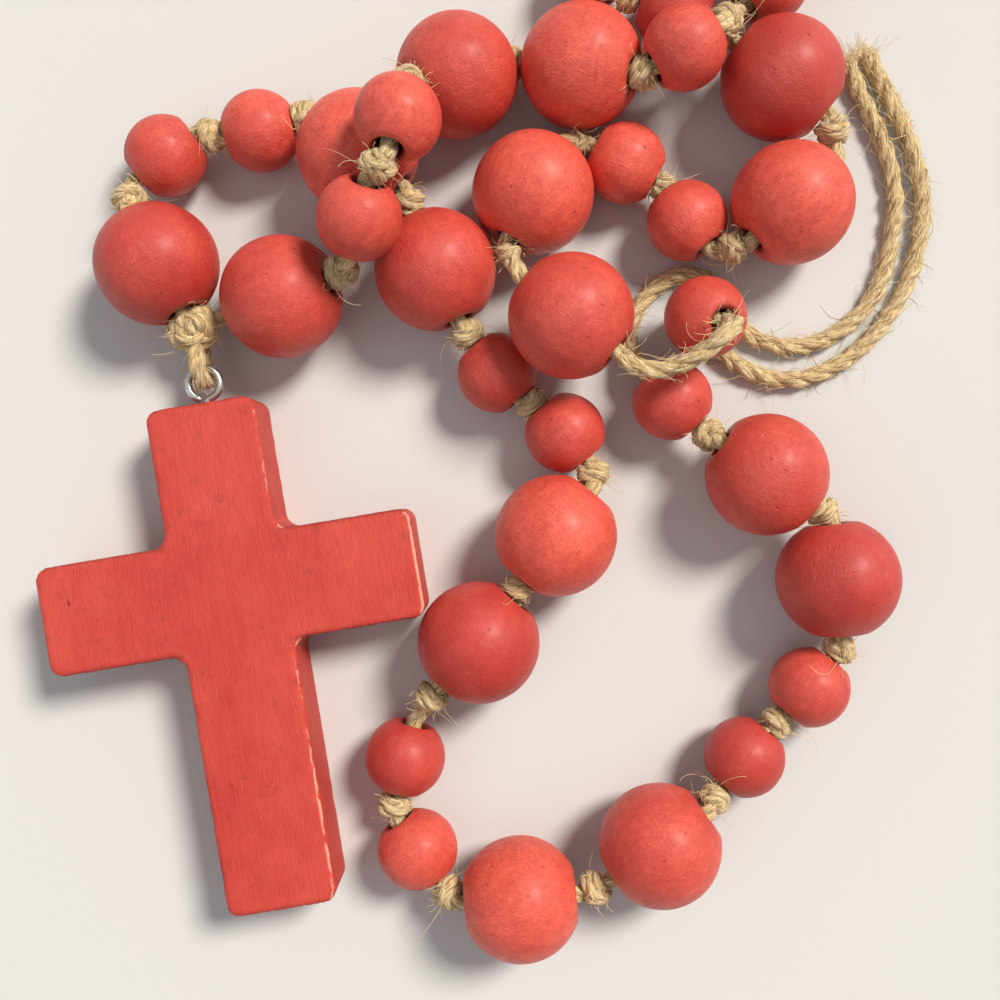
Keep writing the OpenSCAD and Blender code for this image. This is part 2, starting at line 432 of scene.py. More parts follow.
@dataclass(frozen=True)
class PaintedBoard:
    """Sawn board under one thin coat of red paint, scuffed pale at its edges, with a painted highlight
    on its right-hand edges, on the lamp's side.

    Attributes:
        paint: colour of the coat.
        thin: colour where the coat is thin over raised grain.
        pale_wood_and_highlight: colour of bare wood where the paint is scuffed off, also used for the
            painted highlight on the right-hand edges.
        dark: colour of dents and end grain.
    """

    paint: Colour = (0.50, 0.032, 0.022)
    thin: Colour = (0.63, 0.068, 0.045)
    pale_wood_and_highlight: Colour = (0.80, 0.37, 0.26)
    dark: Colour = (0.20, 0.016, 0.012)

    def material(self) -> bpy.types.Material:
        """Builds the finish, which follows the board's grain attribute."""
        g = Graph("painted_board")
        place = g.attribute("grain")
        line = g.noise(g.stretched(place, (1.0, 0.045, 1.0)), 2.6, 6.0, 0.70)
        fine = g.noise(g.stretched(place, (1.0, 0.11, 1.0)), 5.5, 4.0, 0.65)
        cloud = g.noise(g.stretched(place, (1.0, 0.6, 1.0)), 0.075, 5.0, 0.65)
        smudge = g.noise(g.stretched(place, (1.0, 0.8, 1.0)), 0.30, 5.0, 0.7)
        colour = g.mix(g.span(cloud, 0.34, 0.66, 0.0, 1.0), self.paint, self.thin)
        colour = g.mix(g.span(line, 0.40, 0.64, 0.0, 0.42), colour, self.thin)
        colour = g.mix(g.span(fine, 0.56, 0.74, 0.0, 0.34), colour, self.dark)
        colour = g.mix(g.span(fine, 0.40, 0.26, 0.0, 0.30), colour, self.pale_wood_and_highlight)
        colour = g.mix(g.span(smudge, 0.57, 0.76, 0.0, 0.50), colour, self.dark)
        dent = g.span(g.cells(g.stretched(place, (1.0, 0.4, 1.0)), 0.16), 0.012, 0.05, 1.0, 0.0)
        colour = g.mix(g.maths("MULTIPLY", dent, 0.7), colour, self.dark)
        patch = g.noise(g.stretched(place, (1.0, 0.30, 1.0)), 0.42, 4.0, 0.7)
        # Pale edges: paint scuffed off on the slanted edges, and painted highlight on the right-hand
        # edges, where the mask is twice as strong.
        rubbed_and_lit_edge = g.maths("MULTIPLY", g.attribute("wear_and_edge_highlight", "Fac"), g.span(patch, 0.34, 0.52, 0.0, 1.0))
        colour = g.mix(g.span(rubbed_and_lit_edge, 0.50, 0.82, 0.0, 0.9), colour, self.pale_wood_and_highlight)
        ends = g.maths("MULTIPLY", g.attribute("end_grain", "Fac"), g.span(fine, 0.4, 0.6, 0.1, 0.7))
        colour = g.mix(ends, colour, self.dark)
        g.feed("Base Color", colour)
        g.feed("Roughness", g.span(line, 0.3, 0.7, 0.62, 0.46))
        g.set(Specular_IOR_Level=0.36)
        g.bump(
            (line, 0.22 * MM),
            (fine, 0.16 * MM),
            (g.maths("MULTIPLY", dent, -1.0), 0.35 * MM),
        )
        return g.material


@dataclass(frozen=True)
class JuteFibre:
    """Natural jute, golden, with painted shade between its fibres and pale fibres that are partly
    painted highlight.

    Attributes:
        shade: painted shade between the fibres.
        body: colour of the fibres.
        light: colour of the pale fibres, partly painted highlight.
    """

    shade: Colour = (0.22, 0.115, 0.036)
    body: Colour = (0.74, 0.495, 0.20)
    light: Colour = (0.99, 0.84, 0.50)

    def material(self) -> bpy.types.Material:
        """Builds the finish for plies, whose fibres run along their UV map."""
        g = Graph("jute_fibre")
        uv = g.uv()
        lines = g.noise(g.stretched(uv, (10.0, 0.30, 1.0)), 1.0, 5.0, 0.7)
        hairs = g.noise(g.stretched(uv, (24.0, 0.45, 1.0)), 1.0, 3.0, 0.6)
        patch = g.noise(g.stretched(uv, (1.0, 0.12, 1.0)), 1.0, 3.0, 0.6)
        # Painted shade in the dark lines between the fibres; the pale streaks and patches are partly
        # painted highlight.
        colour = g.mix(g.span(lines, 0.38, 0.58, 0.0, 1.0), self.shade, self.body)
        colour = g.mix(g.span(hairs, 0.48, 0.64, 0.0, 0.95), colour, self.light)
        colour = g.mix(g.span(patch, 0.40, 0.70, 0.0, 0.35), colour, self.light)
        g.feed("Base Color", colour)
        g.set(Roughness=0.78, Specular_IOR_Level=0.25, Sheen_Weight=0.25, Sheen_Roughness=0.5)
        g.bump((lines, 0.60 * MM), (hairs, 0.28 * MM))
        return g.material

    def loose(self) -> bpy.types.Material:
        """Builds the finish for single loose fibres, which are paler."""
        g = Graph("jute_loose_fibre")
        tone = g.noise(g.stretched(g.uv(), (0.0, 0.35, 0.0)), 1.0, 2.0, 0.5)
        colour = g.mix(g.span(tone, 0.30, 0.60, 0.15, 1.0), self.body, self.light)
        g.feed("Base Color", colour)
        g.set(Roughness=0.6, Specular_IOR_Level=0.3)
        return g.material


@dataclass(frozen=True)
class EyeWire:
    """Zinc-plated steel wire, a little dulled.

    Attributes:
        bright: colour of the clean plating.
        dull: colour where it has aged.
    """

    bright: Colour = (0.74, 0.73, 0.70)
    dull: Colour = (0.40, 0.385, 0.36)

    def material(self) -> bpy.types.Material:
        """Builds the finish, which follows the wire's UV map."""
        g = Graph("eye_wire")
        uv = g.uv()
        stain = g.noise(g.stretched(uv, (1.4, 0.5, 1.0)), 1.0, 5.0, 0.65)
        drawn = g.noise(g.stretched(uv, (16.0, 0.2, 1.0)), 1.0, 3.0, 0.5)
        g.feed("Base Color", g.mix(g.span(stain, 0.42, 0.68, 0.0, 1.0), self.bright, self.dull))
        g.feed("Roughness", g.span(stain, 0.35, 0.7, 0.24, 0.46))
        g.set(Metallic=1.0)
        g.bump((drawn, 0.03 * MM))
        return g.material


@dataclass(frozen=True)
class TableTop:
    """A plain pale sheet that the rosary lies on."""

    colour: Colour = (0.62, 0.61, 0.59)

    def material(self) -> bpy.types.Material:
        """Builds the finish."""
        g = Graph("pale_sheet")
        coords = g.nodes.new("ShaderNodeTexCoord").outputs["Object"]
        tooth = g.noise(coords, 900.0, 3.0, 0.6)
        shade = tuple(0.97 * c for c in self.colour)
        g.feed("Base Color", g.mix(tooth, self.colour, shade))
        g.set(Roughness=0.85, Specular_IOR_Level=0.2)
        return g.material


# ---------------------------------------------------------------- lines and tubes


def smooth_line(points: list[Vector], step: float) -> list[Vector]:
    """A smooth line through points, cut into even steps.

    Args:
        points: the points that it passes through.
        step: about how far apart the returned points lie.

    Returns:
        Points along the line, the first and last being the given ones.
    """
    padded = [points[0] * 2 - points[1], *points, points[-1] * 2 - points[-2]]
    fine: list[Vector] = []
    for a, b, c, d in zip(padded, padded[1:], padded[2:], padded[3:]):
        count = max(2, math.ceil((c - b).length / step) * 3)
        for i in range(count):
            t = i / count
            near = b * 2 + (c - a) * t + (a * 2 - b * 5 + c * 4 - d) * t**2
            fine.append((near + (b * 3 - a - c * 3 + d) * t**3) * 0.5)
    fine.append(points[-1].copy())
    return even_line(fine, step)


def even_line(points: list[Vector], step: float) -> list[Vector]:
    """The same line with its points an even distance apart.

    Args:
        points: the line.
        step: about how far apart the returned points lie.

    Returns:
        Points along the line, at least three.
    """
    table = np.array(points, float)
    lengths = np.concatenate([[0.0], np.cumsum(np.linalg.norm(np.diff(table, axis=0), axis=1))])
    count = max(3, round(lengths[-1] / step) + 1)
    at = np.linspace(0.0, lengths[-1], count)
    return [Vector(p) for p in zip(*(np.interp(at, lengths, table[:, k]) for k in range(3)))]


def carried_frames(points: list[Vector]) -> list[tuple[Vector, Vector]]:
    """Two directions across a line at each of its points, carried along it without twist.

    Args:
        points: the line.

    Returns:
        The two directions at each point, square to the line and to each other.
    """
    frames: list[tuple[Vector, Vector]] = []
    across = Vector((0.13, 0.21, 1.0))
    for i in range(len(points)):
        along = points[min(i + 1, len(points) - 1)] - points[max(i - 1, 0)]
        along.normalize()
        across = across - along * across.dot(along)
        if across.length < 1e-6:
            across = along.orthogonal()
        across.normalize()
        frames.append((across.copy(), along.cross(across)))
    return frames


class TubeMesh:
    """Gathers tubes into one mesh with a UV map: across is round a tube, up is along it in mm."""

    def __init__(self) -> None:
        """Starts an empty mesh."""
        self.points: list[Vector] = []
        self.faces: list[tuple[int, ...]] = []
        self.uvs: list[tuple[float, float]] = []

    def tube(self, line: list[Vector], radii: list[float], sides: int, shift: float) -> None:
        """Adds a closed tube.

        Args:
            line: centre of each ring.
            radii: radius of each ring.
            sides: corners of a ring.
            shift: where the tube starts in the pattern, in mm.
        """
        start = len(self.points)
        travelled = shift
        heights: list[float] = []
        for i, (centre, (u, v)) in enumerate(zip(line, carried_frames(line))):
            if i:
                travelled += (centre - line[i - 1]).length / MM
            heights.append(travelled)
            for s in range(sides):
                turn = 2 * math.pi * s / sides
                self.points.append(centre + (u * math.cos(turn) + v * math.sin(turn)) * radii[i])
        for i in range(len(line) - 1):
            for s in range(sides):
                n = (s + 1) % sides
                low, high = start + i * sides, start + (i + 1) * sides
                self.faces.append((low + s, low + n, high + n, high + s))
                left, right = s / sides, (s + 1) / sides
                bottom, top = heights[i], heights[i + 1]
                self.uvs += [(left, bottom), (right, bottom), (right, top), (left, top)]
        last = start + (len(line) - 1) * sides
        self.faces.append(tuple(start + s for s in reversed(range(sides))))
        self.faces.append(tuple(last + s for s in range(sides)))
        self.uvs += [(s / sides, heights[0]) for s in reversed(range(sides))]
        self.uvs += [(s / sides, heights[-1]) for s in range(sides)]

    def rope(
        self,
        line: list[Vector],
        radius: float,
        pitch: float,
        rng: random.Random,
        taper: bool = False,
    ) -> None:
        """Adds three plies twisted round each other.

        Args:
            line: centre line of the rope, in even steps.
            radius: radius of the rope.
            pitch: length of one turn of the plies.
            rng: source of the plies' unevenness.
            taper: whether both ends thin out.
        """
        step = (line[1] - line[0]).length
        frames = carried_frames(line)
        first = rng.uniform(0, 2 * math.pi)
        for ply in range(3):
            seed = Vector((rng.uniform(0, 90), rng.uniform(0, 90), ply * 7.0))
            centres: list[Vector] = []
            radii: list[float] = []
            for i, (centre, (u, v)) in enumerate(zip(line, frames)):
                wander = noise.noise(seed + Vector((i * step / (3.0 * MM), 0, 0)))
                swell = noise.noise(seed + Vector((0, i * step / (2.2 * MM), 3.0)))
                turn = first + 2 * math.pi * (i * step / pitch + ply / 3) + 0.35 * wander
                end = min(i, len(line) - 1 - i) / max(1, len(line) - 1)
                thin = min(1.0, 0.35 + 4.0 * end) if taper else 1.0
                off = 0.44 * radius * (1 + 0.12 * wander) * thin
                centres.append(centre + (u * math.cos(turn) + v * math.sin(turn)) * off)
                radii.append(0.57 * radius * (1 + 0.14 * swell) * thin)
            self.tube(centres, radii, 8, rng.uniform(0, 400))

    def each(self, change: Move) -> None:
        """Moves every point by a function from point to point."""
        self.points = [change(p) for p in self.points]

    def piece(self, name: str, material: bpy.types.Material) -> bpy.types.Object:
        """Makes the object.

        Args:
            name: name of the piece.
            material: its finish.

        Returns:
            The new object, at the origin, with its place in its mesh.
        """
        mesh = bpy.data.meshes.new(name)
        mesh.from_pydata(self.points, [], self.faces)
        layer = mesh.uv_layers.new(name="along")
        layer.data.foreach_set("uv", np.array(self.uvs, np.float32).ravel())
        mesh.shade_smooth()
        mesh.materials.append(material)
        piece = bpy.data.objects.new(name, mesh)
        bpy.context.scene.collection.objects.link(piece)
        return piece


def fibre(
    mesh: TubeMesh,
    root: Vector,
    heading: Vector,
    length: float,
    rng: random.Random,
    keep_out: list[Bead],
) -> None:
    """Adds one loose fibre that wanders away from the twine.

    Args:
        mesh: what it is added to.
        root: where it leaves the twine.
        heading: the direction it starts in.
        length: how long it is.
        rng: source of its curl.
        keep_out: beads that it lies over instead of going into.
    """
    over_wood, over_table = 0.20 * MM, 0.12 * MM
    droop = Vector((0, 0, -0.03))
    steps = max(5, round(length / (0.9 * MM)))
    curl = Vector((rng.gauss(0, 1), rng.gauss(0, 1), rng.gauss(0, 0.6))) * 0.30
    point, direction = root.copy(), heading.normalized()
    line = [point.copy()]
    for _ in range(steps):
        curl = curl + Vector((rng.gauss(0, 1), rng.gauss(0, 1), rng.gauss(0, 0.6))) * 0.10
        direction = (direction + direction.cross(curl) * 0.55 + droop).normalized()
        point = point + direction * (length / steps)
        for bead in keep_out:
            point = bead.clear(point, over_wood)
        point.z = max(point.z, over_table)
        line.append(point.copy())
    thickness = rng.uniform(0.05, 0.10) * MM
    radii = [thickness * (1 - 0.55 * i / steps) for i in range(steps + 1)]
    mesh.tube(line, radii, 3, rng.uniform(0, 400))


def near_beads(beads: list[Bead], point: Vector, reach: float) -> list[Bead]:
    """The beads whose surface is within reach of a point."""
    return [b for b in beads if (b.middle - point).length < b.size.radius + reach]


def scatter_fibres(
    mesh: TubeMesh,
    line: list[Vector],
    radius: float,
    count: int,
    longest: float,
    rng: random.Random,
    beads: list[Bead],
    lift: tuple[float, float] = (0.25, 0.9),
) -> None:
    """Scatters loose fibres along a stretch of twine or a knot.

    Args:
        mesh: what they are added to.
        line: centre line of the twine.
        radius: how far from it they start.
        count: how many there are.
        longest: length of the longest.
        rng: source of chance.
        beads: beads that they keep out of.
        lift: least and most that they start away from the surface.
    """
    frames = carried_frames(line)
    for _ in range(count):
        i = rng.randrange(1, len(line) - 1)
        u, v = frames[i]
        turn = rng.uniform(0, 2 * math.pi)
        out = u * math.cos(turn) + v * math.sin(turn)
        along = (line[i + 1] - line[i - 1]).normalized() * rng.choice((-1, 1))
        heading = out * rng.uniform(*lift) + along * rng.uniform(0.3, 1.0)
        length = longest * rng.uniform(0.25, 1.0) ** 1.6
        root = line[i] + out * radius * 0.95
        fibre(mesh, root, heading, max(length, 1.2 * MM), rng, near_beads(beads, root, length))


# ---------------------------------------------------------------- camera and light


@dataclass
class Studio:
    """Camera over the table, soft light from the upper right, and the table itself.

    Attributes:
        camera_at: place of the camera, which looks straight down.
        lens: focal length, for a sensor 36 mm wide.
        key_from: direction that the main light comes from.
        table_width: width of the square table top.
        finish: finish of the table top.
    """

    camera_at: Point = (0.0060, -0.0235, 0.2300)
    lens: float = 39.85
    key_from: Point = (0.45, 0.42, 0.70)
    table_width: float = 6.0
    finish: TableTop = field(default_factory=TableTop)

    def place_camera(self) -> None:
        """Makes the camera and gives it to the scene."""
        data = bpy.data.cameras.new("camera")
        data.lens = self.lens
        data.sensor_width = 36.0
        data.clip_start = 0.01
        camera = bpy.data.objects.new("camera", data)
        camera.location = self.camera_at
        bpy.context.scene.collection.objects.link(camera)
        bpy.context.scene.camera = camera

    def lamp(self, name: str, comes_from: Point, spread: float, level: float, tint: Colour) -> None:
        """Adds one broad soft lamp, far enough away to light the table evenly.

        Args:
            name: name of the lamp.
            comes_from: direction that its light comes from.
            spread: width of the lamp as seen from the table, in degrees.
            level: how strong its light is.
            tint: colour of its light.
        """
        data = bpy.data.lights.new(name, "SUN")
        data.angle = math.radians(spread)
        data.energy = level
        data.color = tint
        lamp = bpy.data.objects.new(name, data)
        lamp.location = comes_from
        lamp.rotation_euler = (-Vector(comes_from)).to_track_quat("-Z", "Y").to_euler()
        bpy.context.scene.collection.objects.link(lamp)

    def light(self) -> None:
        """Adds the lamps and an even, pale surround."""
        self.lamp("key_lamp", self.key_from, 17.0, 4.0, (1.0, 0.95, 0.88))
        self.lamp("fill_lamp", (-0.35, -0.20, 0.45), 60.0, 0.45, (0.94, 0.96, 1.0))
        world = bpy.data.worlds.new("surround")
        world.use_nodes = True
        surround = world.node_tree.nodes["Background"]
        surround.inputs["Color"].default_value = (0.95, 0.96, 1.0, 1.0)
        surround.inputs["Strength"].default_value = 0.34
        bpy.context.scene.world = world

    def lay_table(self) -> None:
        """Adds the table top, a wide flat sheet."""
        deselect()
        bpy.ops.mesh.primitive_plane_add(size=self.table_width, location=(0, 0, 0))
        table = bpy.context.object
        table.name = "table_top"
        bpy.ops.object.mode_set(mode="EDIT")
        bpy.ops.mesh.subdivide(number_cuts=2)
        bpy.ops.object.mode_set(mode="OBJECT")
        table.data.materials.append(self.finish.material())


# ---------------------------------------------------------------- modelling helpers


def deselect() -> None:
    """Leaves nothing selected and no object in edit mode."""
    if bpy.context.object is not None and bpy.context.object.mode != "OBJECT":
        bpy.ops.object.mode_set(mode="OBJECT")
    bpy.ops.object.select_all(action="DESELECT")


def pick(piece: bpy.types.Object, kind: str, test: Callable[..., bool]) -> None:
    """Selects the parts of a mesh that pass a test, and nothing else, in edit mode.

    Args:
        piece: the object in edit mode.
        kind: "EDGE" or "FACE".
        test: takes an edge or a face and says whether it is wanted.
    """
    bpy.ops.mesh.select_mode(type=kind)
    bpy.ops.mesh.select_all(action="DESELECT")
    bpy.ops.object.mode_set(mode="OBJECT")
    items = {"EDGE": piece.data.edges, "FACE": piece.data.polygons}[kind]
    for item in items:
        item.select = bool(test(item))
    bpy.ops.object.mode_set(mode="EDIT")


def store(mesh: bpy.types.Mesh, name: str, values: np.ndarray) -> None:
    """Writes one number, or one vector, for each point of a mesh.

    Args:
        mesh: the mesh.
        name: name of the attribute.
        values: a number, or a row of three, for each point.
    """
    kind, part = ("FLOAT_VECTOR", "vector") if values.ndim == 2 else ("FLOAT", "value")
    attribute = mesh.attributes.new(name, kind, "POINT")
    attribute.data.foreach_set(part, values.astype(np.float32).ravel())


def points_of(mesh: bpy.types.Mesh) -> np.ndarray:
    """The points of a mesh as a table."""
    table = np.empty(len(mesh.vertices) * 3, np.float32)
    mesh.vertices.foreach_get("co", table)
    return table.reshape(-1, 3).astype(float)


# ---------------------------------------------------------------- beads


@dataclass
class BeadShape:
    """A turned bead, modelled once for its size with its hole along Z.

    Attributes:
        size: which of the two sizes it is.
        bore_radius: radius of the hole.
        mouth_bevel: width of the bevel round the hole.
        edge_round: radius that the lathe leaves where the flat meets the round.
        mouth_round: radius where the flat meets the bevel.
    """

    size: BeadSize
    bore_radius: float = 2.5 * MM
    mouth_bevel: float = 0.7 * MM
    edge_round: float = 0.45 * MM
    mouth_round: float = 0.25 * MM

    def build(self) -> bpy.types.Object:
        """Models the bead at the origin.

        Returns:
            The finished master, which is copied for each bead and then removed.
        """
        half = self.size.half_length
        deselect()
        bpy.ops.mesh.primitive_uv_sphere_add(segments=80, ring_count=44, radius=self.size.radius)
        piece = bpy.context.object
        bpy.ops.object.mode_set(mode="EDIT")
        for end in (1, -1):
            bpy.ops.mesh.select_all(action="SELECT")
            bpy.ops.mesh.bisect(
                plane_co=(0, 0, end * half), plane_no=(0, 0, end), clear_outer=True, threshold=1e-6
            )
        flat = math.sqrt(self.size.radius**2 - half**2)
        mouth = self.bore_radius + self.mouth_bevel
        for end in (1, -1):
            self.pick_rings(piece, (end * half,), flat)
            self.shrink_ring(flat, mouth, 0.0)
            self.pick_rings(piece, (end * half,), mouth)
            self.shrink_ring(mouth, self.bore_radius, -end * self.mouth_bevel)
        inner = half - self.mouth_bevel
        self.pick_rings(piece, (inner, -inner), self.bore_radius)
        bpy.ops.mesh.bridge_edge_loops()
        self.pick_rings(piece, (half, -half), flat)
        bpy.ops.mesh.bevel(offset=self.edge_round, segments=4, affect="EDGES")
        self.pick_rings(piece, (half, -half), mouth)
        bpy.ops.mesh.bevel(offset=self.mouth_round, segments=2, affect="EDGES")
        bpy.ops.mesh.select_all(action="SELECT")
        bpy.ops.mesh.remove_doubles(threshold=1e-7)
        bpy.ops.mesh.normals_make_consistent(inside=False)
        bpy.ops.object.mode_set(mode="OBJECT")
        bpy.ops.object.shade_smooth_by_angle(angle=math.radians(40))
        return piece

    @staticmethod
    def pick_rings(piece: bpy.types.Object, heights: tuple[float, ...], radius: float) -> None:
        """Selects the rings of edges round Z that have a given radius.

        Args:
            piece: the bead in edit mode.
            heights: where the rings lie along Z.
            radius: their radius.
        """
        height_slack, radius_slack = 0.02 * MM, 0.06 * MM

        def on_ring(edge: bpy.types.MeshEdge, height: float) -> bool:
            ends = [piece.data.vertices[index].co for index in edge.vertices]
            return all(
                abs(co.z - height) <= height_slack
                and abs(math.hypot(co.x, co.y) - radius) <= radius_slack
                for co in ends
            )

        pick(piece, "EDGE", lambda edge: any(on_ring(edge, height) for height in heights))

    @staticmethod
    def shrink_ring(start: float, end: float, drop: float) -> None:
        """Extrudes the selected ring inwards.

        Args:
            start: its radius.
            end: the new ring's radius.
            drop: how far the new ring moves along Z.
        """
        share = end / start
        bpy.ops.mesh.extrude_edges_move(TRANSFORM_OT_translate={"value": (0, 0, drop)})
        bpy.ops.transform.resize(value=(share, share, 1), center_override=(0, 0, 0))


@dataclass
class BeadString:
    """All the beads of the rosary, each its own piece on its own body.

    Attributes:
        beads: every bead, in the order in which they are strung.
        shades: the beads that aren't plain red.
    """

    beads: list[Bead]
    shades: dict[str, Shade] = field(
        default_factory=lambda: {
            **{f"large_bead_{i:02d}": Shade.CORAL for i in (2, 4, 6, 12, 16, 17)},
            **{f"small_bead_{i:02d}": Shade.CORAL for i in (11, 17)},
            **{f"small_bead_{i:02d}": Shade.WARM for i in (2, 6, 10, 12, 16)},
            **{f"large_bead_{i:02d}": Shade.DEEP for i in (1, 5, 8, 15)},
            **{f"small_bead_{i:02d}": Shade.DEEP for i in (5, 7, 15)},
        }
    )

    def build(self, material: bpy.types.Material) -> None:
        """Models both sizes and copies them to every bead's place.

        Args:
            material: finish of the beads.
        """
        masters = {size: BeadShape(size).build() for size in BeadSize}
        for number, bead in enumerate(self.beads):
            self.copy(bead, masters[bead.size], material, Seed.BEADS.chance(number))
        for master in masters.values():
            bpy.data.objects.remove(master)

    def copy(
        self,
        bead: Bead,
        master: bpy.types.Object,
        material: bpy.types.Material,
        rng: random.Random,
    ) -> None:
        """Makes one bead with its own unevenness, grain, dye shade and painted shade in its hole.

        Args:
            bead: the bead to make.
            master: the modelled bead of its size.
            material: its finish.
            rng: source of its unevenness.
        """
        mesh = master.data.copy()
        local = points_of(mesh)
        seed = Vector((rng.uniform(0, 50), rng.uniform(0, 50), rng.uniform(0, 50)))
        distance = np.linalg.norm(local, axis=1)
        swell = np.array([noise.noise(Vector(p) / (7.0 * MM) + seed) for p in local])
        outside = np.clip((distance / bead.size.radius - 0.80) / 0.15, 0, 1)
        shaped = local * (1 + 0.0045 * swell * outside)[:, None]
        # Painted shade mask: 1 on the wall of the hole, up to 0.75 on the flat round its mouth.
        reach = np.hypot(local[:, 0], local[:, 1])
        near_end = np.abs(local[:, 2]) > bead.size.half_length * 0.93
        mouth = np.clip((3.7 * MM - reach) / (0.9 * MM), 0, 1) * near_end
        inside = (reach < 3.0 * MM) & ~near_end
        store(mesh, "bore_shade_and_dark_pits", np.where(inside, 1.0, 0.75 * mouth))
        store(mesh, "grain", local / MM + np.array(seed) * 3.0)
        tone = self.shades.get(bead.name, Shade.RED).value + rng.uniform(-0.10, 0.10)
        store(mesh, "tone", np.full(len(local), tone))
        turn = Matrix.Rotation(rng.uniform(0, 2 * math.pi), 4, "Z")
        lay = bead.axis.to_track_quat("Z", "Y").to_matrix().to_4x4()
        mesh.vertices.foreach_set("co", shaped.astype(np.float32).ravel())
        mesh.transform(Matrix.Translation(bead.middle) @ lay @ turn)
        mesh.materials.clear()
        mesh.materials.append(material)
        piece = bpy.data.objects.new(f"{bead.name}_turned", mesh)
        bpy.context.scene.collection.objects.link(piece)
        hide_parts(bead.name)
        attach(piece, bead.name)


# ---------------------------------------------------------------- twine, knots and loose ends


# Routes of the two loose ends, from the last bead of each side to the cut end, in the layout.
LAYOUT_MIDDLE = (-0.0060, 0.0235)
LOOSE_END_A = [
    (0.0276, 0.0274, 0.0068), (0.0266, 0.0302, 0.0050), (0.0264, 0.0334, 0.0032),
    (0.0270, 0.0366, 0.0021), (0.0286, 0.0398, 0.0018), (0.0310, 0.0428, 0.0018),
    (0.0340, 0.0452, 0.0018), (0.0376, 0.0464, 0.0018), (0.0414, 0.0458, 0.0018),
    (0.0444, 0.0434, 0.0018), (0.0466, 0.0402, 0.0018), (0.0486, 0.0368, 0.0018),
    (0.0514, 0.0340, 0.0018), (0.0554, 0.0322, 0.0018), (0.0604, 0.0316, 0.0018),
    (0.0656, 0.0326, 0.0018), (0.0706, 0.0352, 0.0018), (0.0748, 0.0390, 0.0018),
    (0.0778, 0.0436, 0.0018), (0.0796, 0.0490, 0.0018), (0.0808, 0.0548, 0.0018),
    (0.0814, 0.0608, 0.0018), (0.0808, 0.0668, 0.0018), (0.0792, 0.0726, 0.0018),
    (0.0768, 0.0784, 0.0018), (0.0740, 0.0842, 0.0018), (0.0716, 0.0900, 0.0018),
]
LOOSE_END_B = [
    (0.0252, 0.0256, 0.0208), (0.0288, 0.0246, 0.0210), (0.0326, 0.0250, 0.0218),
    (0.0362, 0.0266, 0.0234), (0.0394, 0.0288, 0.0248), (0.0420, 0.0310, 0.0254),
    (0.0436, 0.0326, 0.0246), (0.0436, 0.0330, 0.0230), (0.0430, 0.0334, 0.0214),
    (0.0415, 0.0344, 0.0179), (0.0400, 0.0355, 0.0145), (0.0385, 0.0366, 0.0111),
    (0.0370, 0.0376, 0.0077), (0.0365, 0.0377, 0.0056), (0.0369, 0.0372, 0.0036),
    (0.0384, 0.0360, 0.0022), (0.0408, 0.0342, 0.0018), (0.0438, 0.0318, 0.0018),
    (0.0474, 0.0290, 0.0018), (0.0516, 0.0264, 0.0018), (0.0566, 0.0249, 0.0018),
    (0.0620, 0.0250, 0.0018), (0.0674, 0.0268, 0.0018), (0.0724, 0.0298, 0.0018),
    (0.0768, 0.0338, 0.0018), (0.0806, 0.0386, 0.0018), (0.0836, 0.0440, 0.0018),
    (0.0856, 0.0500, 0.0018), (0.0868, 0.0562, 0.0018), (0.0870, 0.0624, 0.0018),
    (0.0860, 0.0686, 0.0018), (0.0840, 0.0746, 0.0018), (0.0814, 0.0804, 0.0018),
    (0.0784, 0.0862, 0.0018), (0.0758, 0.0918, 0.0018),
]


@dataclass
class LooseEnd:
    """One free end of the twine, from the last bead of its side to where it was cut.

    Attributes:
        letter: which side it belongs to.
        route: its points in the layout.
        last_bead: the bead that it comes out of.
        jute: sizes of the twine.
    """

    letter: str
    route: list[Point]
    last_bead: Bead
    jute: Jute = field(default_factory=Jute)

    def line(self) -> list[Vector]:
        """The centre line of the free end in even steps."""
        start = self.last_bead.mouth(1, self.jute.lead)
        x, y = LAYOUT_MIDDLE
        points = [start] + [Vector((p[0] - x, p[1] - y, p[2])) for p in self.route]
        return smooth_line(points, 0.6 * MM)

    def build(
        self, fibre_finish: bpy.types.Material, loose_finish: bpy.types.Material, beads: list[Bead]
    ) -> None:
        """Args:
            fibre_finish: finish of the plies.
            loose_finish: finish of the loose fibres.
            beads: beads that the fuzz keeps out of.
        """
        rng = (Seed.LOOSE_END_A if self.letter == "a" else Seed.LOOSE_END_B).chance()
        line = self.line()
        ropes = TubeMesh()
        ropes.rope(line, self.jute.radius, self.jute.pitch, rng)
        ropes.each(lambda p: Vector((p.x, p.y, max(p.z, 0.04 * MM))))
        end = ropes.piece(f"loose_end_{self.letter}", fibre_finish)
        fuzz = TubeMesh()
        scatter_fibres(fuzz, line, self.jute.radius, 2 * len(line), 4.5 * MM, rng, beads, (0.0, 0.3))
        scatter_fibres(fuzz, line, self.jute.radius, round(0.6 * len(line)), 7.5 * MM, rng, beads)
        tip, back = line[-1], (line[-1] - line[-4]).normalized()
        for _ in range(70):
            spread = Vector((rng.gauss(0, 0.34), rng.gauss(0, 0.34), rng.gauss(0.04, 0.20)))
            side = Vector((rng.gauss(0, 1), rng.gauss(0, 1), rng.gauss(0, 1))).normalized()
            root = tip - back * 1.5 * MM + side * 1.1 * MM
            fibre(fuzz, root, back + spread, rng.uniform(2.5, 8.0) * MM, rng, [])
        hairs = fuzz.piece(f"loose_end_{self.letter}_fuzz", loose_finish)
        for piece in (end, hairs):
            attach(piece, "strand")
        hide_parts(f"tail_{self.letter}")


